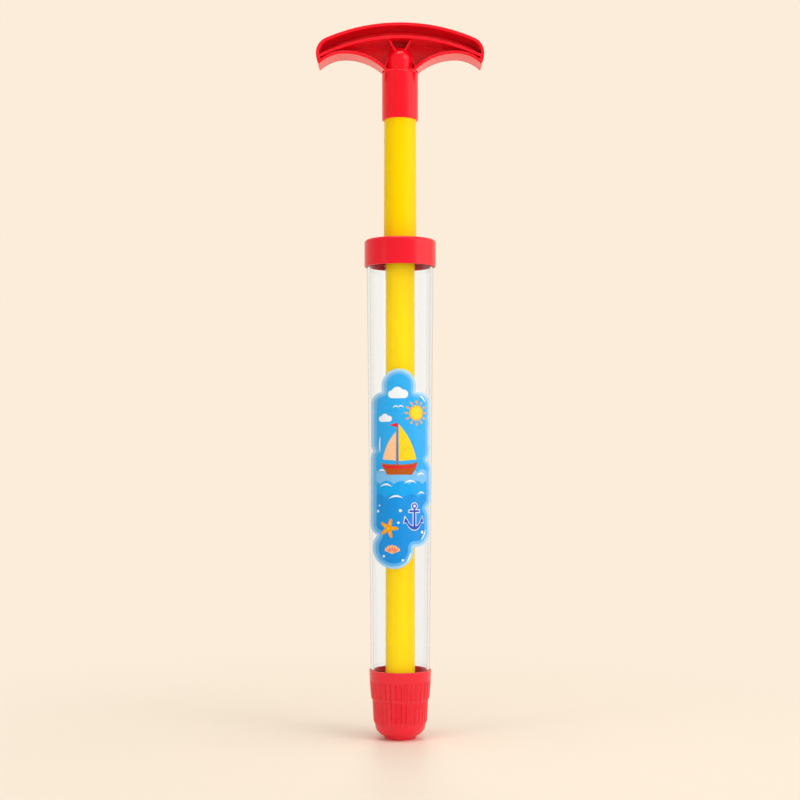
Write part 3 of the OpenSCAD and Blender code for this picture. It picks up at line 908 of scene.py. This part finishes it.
def print_ink(name, low_tone, high_tone):
    """Gloss printing ink that runs from one tone at the label's foot to another at its top."""
    material, add = new_material(name)
    place = add("TexCoord").outputs["Object"]
    height = add("SeparateXYZ", {"Vector": place}).outputs["Z"]
    low_z, high_z = (LABEL_Z - LABEL_HALF_H) * MM, (LABEL_Z + LABEL_HALF_H) * MM
    rise = add("MapRange", {"Value": height, "From Min": low_z, "From Max": high_z})
    cloud = add("TexNoise", {"Vector": place, "Scale": 120.0, "Detail": 0.0}).outputs["Fac"]
    drift = add("Math", {0: cloud, 1: 0.25, 2: -0.125}, operation="MULTIPLY_ADD").outputs[0]
    tone = add("Math", {0: rise.outputs["Result"], 1: drift}, operation="ADD", use_clamp=True).outputs[0]
    colour = add("Mix", {"Factor": tone, "A": (*low_tone, 1), "B": (*high_tone, 1)}, data_type="RGBA")
    gloss = add("MapRange", {"Value": cloud, "To Min": 0.22, "To Max": 0.34}).outputs["Result"]
    ink = add("BsdfPrincipled", {
        "Base Color": colour.outputs["Result"], "Roughness": gloss, "IOR": 1.47,
        "Specular IOR Level": 0.35,
    })
    add("OutputMaterial", {"Surface": ink.outputs[0]})
    return material


def ink_layer(name, finish, level, outlines):
    """One printed colour, over the inks of the levels below it."""
    wrapped_film(name, outlines, LABEL_GLUE + LABEL_T + level * INK_T, INK_T, finish)


def spread(count, start=0.0, end=2 * math.pi):
    """Evenly spaced values from the start towards the end, without the end; a full turn unless given."""
    return [start + (end - start) * step / count for step in range(count)]


def around(middle, r, turn):
    """The point at a radius from a middle, turned clockwise from straight up."""
    return middle[0] + r * math.sin(turn), middle[1] + r * math.cos(turn)


def spoke(middle, radii, turn, width):
    """A straight brush stroke that points away from a middle."""
    return stroke(*(around(middle, r, turn) for r in radii), width)


def disc(s, t, r):
    """A round spot."""
    return [around((s, t), r, turn) for turn in spread(DISC_STEPS)]


def star(s, t, outer, inner, points, turn):
    """A star with rounded arms, turned clockwise."""
    outline = []
    for angle in spread(points * ARM_STEPS):
        r = inner + (outer - inner) * (0.5 + 0.5 * math.cos(points * angle)) ** ARM_TAPER
        outline.append(around((s, t), r, angle + turn))
    return outline


def stroke(start, bend, end, width):
    """A brush stroke along a curve from start to end, thin at both ends."""
    left, right = [], []
    start, bend, end = Vector(start), Vector(bend), Vector(end)
    for step in range(STROKE_STEPS + 1):
        u = step / STROKE_STEPS
        here = start.lerp(bend, u).lerp(bend.lerp(end, u), u)
        along = (bend - start).lerp(end - bend, u).normalized()
        half = width / 2 * (STROKE_TIP + (1 - STROKE_TIP) * math.sin(math.pi * u))
        left.append((here.x - along.y * half, here.y + along.x * half))
        right.append((here.x + along.y * half, here.y - along.x * half))
    return left + right[::-1]


def sea(high, crest, length, phase, inset):
    """The label's lower part up to a row of rounded wave crests."""
    def top(s):
        return high + crest * abs(math.sin(math.pi * (s - phase) / length))

    rows = [(s, t) for s, t in label_outline(inset) if t < top(s)]
    right = [point for point in rows if point[0] > 0]
    left = [point for point in rows if point[0] <= 0]
    start, end = max(right, key=lambda p: p[1]), max(left, key=lambda p: p[1])
    waves = [(s, top(s)) for s in spread(WAVE_STEPS, start[0], end[0])[1:]]
    index = rows.index(start)
    return rows[:index + 1] + waves + rows[index + 1:]


film_blue = print_ink("pale_blue_ink", (0.34, 0.62, 0.92), (0.42, 0.68, 0.95))
film = wrapped_film("label_film", [label_outline()], LABEL_GLUE, LABEL_T, film_blue)
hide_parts("label")

# Each water print has the height, rise, length and shift of its wave crests.
far_wave, near_wave, deep_water = (-2.0, 1.8, 8.0, 1.0), (-9.0, 2.0, 9.0, 4.0), (-17.0, 2.2, 10.0, 0.0)
band_blue = print_ink("soft_blue_ink", (0.10, 0.44, 0.88), (0.17, 0.51, 0.91))
ink_layer("soft_band_print", band_blue, 0, [label_outline(LABEL_EDGE)])
sky_blue = print_ink("sky_blue_ink", (0.0, 0.38, 0.90), (0.03, 0.43, 0.92))
ink_layer("sky_print", sky_blue, 1, [label_outline(SKY_EDGE)])
far_blue = print_ink("light_wave_ink", (0.16, 0.50, 0.90), (0.22, 0.56, 0.92))
ink_layer("far_wave_print", far_blue, 2, [sea(*far_wave, SKY_EDGE + WATER_EDGE)])
near_blue = print_ink("bright_wave_ink", (0.0, 0.34, 0.85), (0.0, 0.44, 0.95))
ink_layer("near_wave_print", near_blue, 3, [sea(*near_wave, SKY_EDGE + 2 * WATER_EDGE)])
deep_blue = print_ink("deep_water_ink", (0.0, 0.27, 0.76), (0.0, 0.31, 0.84))
ink_layer("deep_water_print", deep_blue, 4, [sea(*deep_water, SKY_EDGE + 3 * WATER_EDGE)])

white_ink = print_ink("white_ink", (0.80, 0.86, 0.93), (0.88, 0.92, 0.97))
yellow_ink = print_ink("yellow_ink", (0.95, 0.55, 0.0), (1.0, 0.72, 0.01))
orange_ink = print_ink("orange_ink", (0.88, 0.30, 0.0), (0.93, 0.42, 0.01))
brown_ink = print_ink("brown_ink", (0.42, 0.07, 0.0), (0.52, 0.11, 0.0))
red_ink = print_ink("red_ink", (0.70, 0.01, 0.02), (0.80, 0.015, 0.03))
royal_ink = print_ink("royal_blue_ink", (0.015, 0.06, 0.52), (0.03, 0.10, 0.66))
peach_ink = print_ink("peach_ink", (0.94, 0.50, 0.24), (0.97, 0.62, 0.36))

cloud_top = [(-6.2, 44.0, 44.0, 2.3), (-3.0, 45.0, 45.0, 3.4), (0.8, 44.2, 44.2, 2.5)]
cloud_left = [(-13.0, 29.5, 29.5, 1.7), (-10.6, 30.2, 30.2, 2.4), (-8.0, 29.6, 29.6, 1.8)]
ink_layer("cloud_print", white_ink, 2, [lobed_outline(cloud_top), lobed_outline(cloud_left)])

SUN, SUN_R, GLOW_R = (8.6, 33.0), 3.8, 4.7
RAY_COUNT, RAY_RADII, RAY_W = 12, (5.4, 6.4, 7.6), 1.3
rays = [spoke(SUN, RAY_RADII, turn, RAY_W) for turn in spread(RAY_COUNT)]
ink_layer("sun_glow_print", orange_ink, 2, [disc(*SUN, GLOW_R), *rays])
ink_layer("sun_print", yellow_ink, 3, [disc(*SUN, SUN_R)])

HULL_TOP, HULL_FOOT, MAST_S, MAST_TOP, SAIL_GAP = 2.6, -3.4, -3.0, 27.0, 0.8
hull = [
    (-13.0, HULL_TOP + 1.0), (-9.0, HULL_TOP + 0.2), (0.0, HULL_TOP), (6.0, HULL_TOP + 0.6),
    (9.5, HULL_TOP + 1.8), (8.0, HULL_TOP - 2.6), (5.6, HULL_FOOT), (-9.0, HULL_FOOT),
    (-11.6, HULL_TOP - 2.4),
]
hull_band = [
    (-12.6, HULL_TOP + 0.2), (-9.0, HULL_TOP - 0.8), (0.0, HULL_TOP - 1.0), (6.0, HULL_TOP - 0.4),
    (9.1, HULL_TOP + 0.6), (8.5, HULL_TOP - 1.0), (5.8, HULL_TOP - 2.0), (0.0, HULL_TOP - 2.6),
    (-9.0, HULL_TOP - 2.4), (-12.0, HULL_TOP - 1.4),
]
mast = [
    (MAST_S - 0.45, HULL_TOP - 0.2), (MAST_S + 0.45, HULL_TOP - 0.2),
    (MAST_S + 0.35, MAST_TOP), (MAST_S - 0.35, MAST_TOP),
]


def sail(foot, tip, clew, belly):
    """A three-cornered sail whose free edge, from the clew to the tip, bellies out."""
    free_edge = Vector(tip) - Vector(clew)
    out = Vector((free_edge.y, -free_edge.x)).normalized()
    edge = []
    for step in range(SAIL_STEPS + 1):
        u = step / SAIL_STEPS
        here = Vector(clew).lerp(Vector(tip), u) + out * belly * math.sin(math.pi * u)
        edge.append((here.x, here.y))
    return [foot] + edge


main_s, jib_s = MAST_S + SAIL_GAP, MAST_S - SAIL_GAP
main_sail = sail((main_s, HULL_TOP + 2.0), (main_s, MAST_TOP - 0.6), (8.4, HULL_TOP + 3.0), 1.6)
jib = sail((jib_s, HULL_TOP + 2.4), (jib_s, MAST_TOP - 5.0), (-12.0, HULL_TOP + 3.0), -1.2)
pennant = [(MAST_S, MAST_TOP + 0.2), (MAST_S - 5.0, MAST_TOP - 1.2), (MAST_S, MAST_TOP - 2.4)]
ink_layer("boat_print", brown_ink, 5, [hull, mast])
ink_layer("boat_band_print", red_ink, 6, [hull_band, pennant])
ink_layer("main_sail_print", yellow_ink, 6, [main_sail])
ink_layer("jib_print", peach_ink, 6, [jib])

crests = [
    stroke((-15.0, -1.6), (-12.5, 0.4), (-10.0, -1.4), 0.9),
    stroke((8.6, -4.0), (11.4, -1.6), (14.4, -3.6), 1.0),
    stroke((-13.5, -10.6), (-9.8, -7.6), (-6.2, -10.4), 1.1),
    stroke((1.0, -8.6), (4.6, -5.4), (8.2, -8.4), 1.1),
    stroke((9.4, -15.2), (12.0, -12.6), (14.4, -15.0), 0.9),
    stroke((-8.0, -17.6), (-4.0, -14.4), (0.2, -17.2), 1.1),
]
bubbles = [
    disc(-1.2, -24.5, 0.9), disc(1.4, -28.6, 0.6), disc(-2.4, -31.6, 0.7), disc(12.6, -37.4, 0.9),
    disc(-15.4, -25.0, 0.8), disc(-14.2, -21.6, 0.5), disc(0.2, -53.6, 0.7), disc(-11.2, -51.4, 0.8),
]
shine = [
    stroke((10.4, 43.2), (13.4, 42.4), (14.6, 39.4), 1.0),
    stroke((-13.6, 19.0), (-14.6, 14.0), (-13.8, 9.6), 1.0),
    stroke((2.4, -54.6), (4.6, -52.0), (5.0, -48.8), 1.1),
    stroke((11.6, -42.0), (14.6, -39.6), (15.4, -35.6), 1.0),
]
gulls = [
    stroke((-5.6, 36.0), (-3.6, 38.2), (-2.6, 36.2), 0.8),
    stroke((-2.6, 36.2), (-1.2, 38.2), (0.8, 36.3), 0.8),
]
ink_layer("white_detail_print", white_ink, 7, crests + bubbles + shine + gulls)

STARFISH, STARFISH_TURN, STARFISH_ARMS = (-8.2, -35.0), 0.3, 5
ARM_R, ARM_ROOT_R, ARM_SPOT_AT, ARM_SPOT_R, MID_SPOT_R = 6.0, 2.3, 2.6, 0.55, 0.9
starfish = star(*STARFISH, ARM_R, ARM_ROOT_R, STARFISH_ARMS, STARFISH_TURN)
arm_spots = [disc(*around(STARFISH, ARM_SPOT_AT, turn + STARFISH_TURN), ARM_SPOT_R)
             for turn in spread(STARFISH_ARMS)]
ink_layer("starfish_print", orange_ink, 5, [starfish])
ink_layer("starfish_spots_print", yellow_ink, 6, [disc(*STARFISH, MID_SPOT_R), *arm_spots])

ANCHOR = (7.2, -27.5)
ANCHOR_EDGE = 0.45
EYE_UP, EYE_R, EYE_HOLE_R = 5.6, 1.7, 0.8


def anchor(grow):
    """An anchor's body, and apart from it its stock, both made wider by so much."""
    s, t = ANCHOR
    shank = [
        (s - 0.7 - grow, t - 7.4), (s + 0.7 + grow, t - 7.4),
        (s + 0.6 + grow, t + 4.4), (s - 0.6 - grow, t + 4.4),
    ]
    arms = stroke((s - 5.4, t - 2.6), (s, t - 12.2), (s + 5.4, t - 2.6), 2.0 + 2 * grow)
    flukes = [[
        (s + side * (5.6 + grow / 2), t - 0.8 + 2 * grow),
        (s + side * (3.6 - grow), t - 3.8 - grow / 2),
        (s + side * (6.4 + grow), t - 4.2 - grow),
    ] for side in (-1, 1)]
    stock = [
        (s - 3.2 - grow, t + 2.0 - grow), (s + 3.2 + grow, t + 2.0 - grow),
        (s + 3.2 + grow, t + 3.2 + grow), (s - 3.2 - grow, t + 3.2 + grow),
    ]
    return [shank, arms, disc(s, t + EYE_UP, EYE_R + grow), *flukes], [stock]


anchor_edge, stock_edge = anchor(ANCHOR_EDGE)
anchor_body, stock_body = anchor(0)
ink_layer("anchor_edge_print", white_ink, 5, anchor_edge)
ink_layer("anchor_stock_edge_print", white_ink, 6, stock_edge)
ink_layer("anchor_print", royal_ink, 7, anchor_body)
ink_layer("anchor_stock_print", royal_ink, 8, stock_body)
ink_layer("anchor_eye_print", white_ink, 8, [disc(ANCHOR[0], ANCHOR[1] + EYE_UP, EYE_HOLE_R)])

SHELL, SHELL_R, SHELL_WAVE, SHELL_WAVES = (-6.0, -50.0), 5.2, 0.05, 14
SHELL_RIB_RADII, SHELL_RIB_W = (1.4, 3.0, 4.6), 0.6
SHELL_ANGLES, SHELL_RIB_ANGLES = range(-68, 69, 4), range(-48, 49, 24)
shell_fan = [SHELL]
for turn in map(math.radians, SHELL_ANGLES):
    wavy_r = SHELL_R * (1 + SHELL_WAVE * math.cos(SHELL_WAVES * turn))
    shell_fan.append(around(SHELL, wavy_r, turn))
shell_ribs = [spoke(SHELL, SHELL_RIB_RADII, turn, SHELL_RIB_W)
              for turn in map(math.radians, SHELL_RIB_ANGLES)]
ink_layer("shell_print", peach_ink, 5, [shell_fan])
ink_layer("shell_rib_print", red_ink, 6, shell_ribs)
